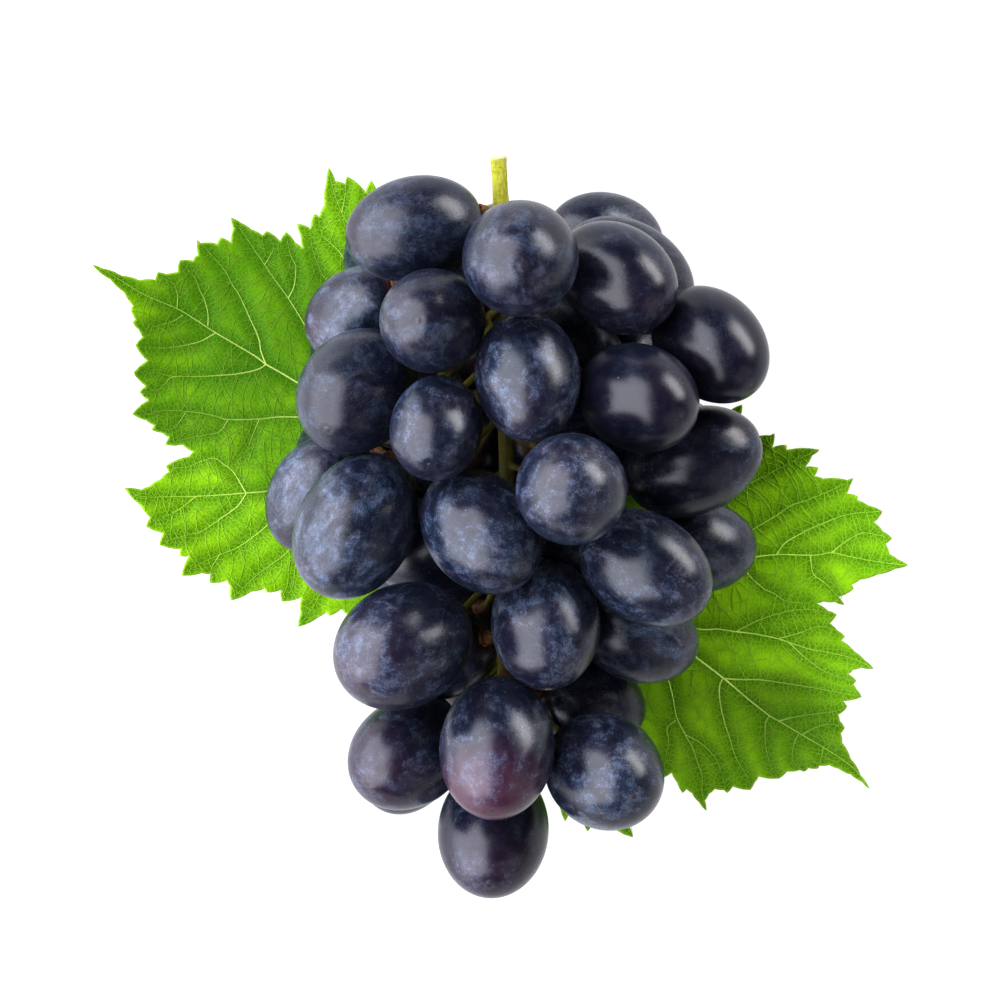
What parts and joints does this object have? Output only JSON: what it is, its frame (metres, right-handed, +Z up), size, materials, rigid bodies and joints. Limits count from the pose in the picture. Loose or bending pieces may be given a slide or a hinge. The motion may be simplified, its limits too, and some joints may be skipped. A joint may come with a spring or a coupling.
{
  "type": "bunch of grapes",
  "caption": "Bunch of dark oval table grapes with its branching stem, lying on its side on two vine leaves.",
  "frame": {"origin": "bottom centre of the bounding box, on the surface that the bunch lies on", "axes": "+Z up from the surface, +Y towards the cut end of the stem, +X across the bunch towards the leaf that lies lower along the bunch"},
  "size_m": [0.164, 0.1488, 0.0894],
  "materials": {
    "berry_skin": "satin, blue-black under a thin waxy bloom",
    "stem_green": "matt, fibrous",
    "leaf_blade": "satin, veined"
  },
  "bodies": {
    "root": {"berry_01": "berry_skin", "berry_02": "berry_skin", "berry_03": "berry_skin", "berry_04": "berry_skin", "berry_05": "berry_skin", "berry_06": "berry_skin", "berry_07": "berry_skin", "berry_08": "berry_skin", "berry_09": "berry_skin", "berry_10": "berry_skin", "berry_11": "berry_skin", "berry_12": "berry_skin", "berry_13": "berry_skin", "berry_14": "berry_skin", "berry_15": "berry_skin", "berry_16": "berry_skin", "berry_17": "berry_skin", "berry_18": "berry_skin", "berry_19": "berry_skin", "berry_20": "berry_skin", "berry_21": "berry_skin", "berry_22": "berry_skin", "berry_23": "berry_skin", "berry_24": "berry_skin", "berry_25": "berry_skin", "berry_26": "berry_skin", "berry_27": "berry_skin", "berry_28": "berry_skin", "berry_29": "berry_skin", "berry_30": "berry_skin", "berry_31": "berry_skin", "berry_32": "berry_skin", "berry_33": "berry_skin", "berry_34": "berry_skin", "berry_35": "berry_skin", "berry_36": "berry_skin", "berry_37": "berry_skin", "berry_38": "berry_skin", "berry_39": "berry_skin", "berry_40": "berry_skin", "berry_41": "berry_skin", "berry_42": "berry_skin", "berry_43": "berry_skin", "berry_44": "berry_skin", "berry_45": "berry_skin", "berry_46": "berry_skin", "berry_47": "berry_skin", "berry_48": "berry_skin", "berry_49": "berry_skin", "berry_50": "berry_skin", "stem": "stem_green", "leaf_left": "leaf_blade", "leaf_right": "leaf_blade"}
  },
  "joints": []
}
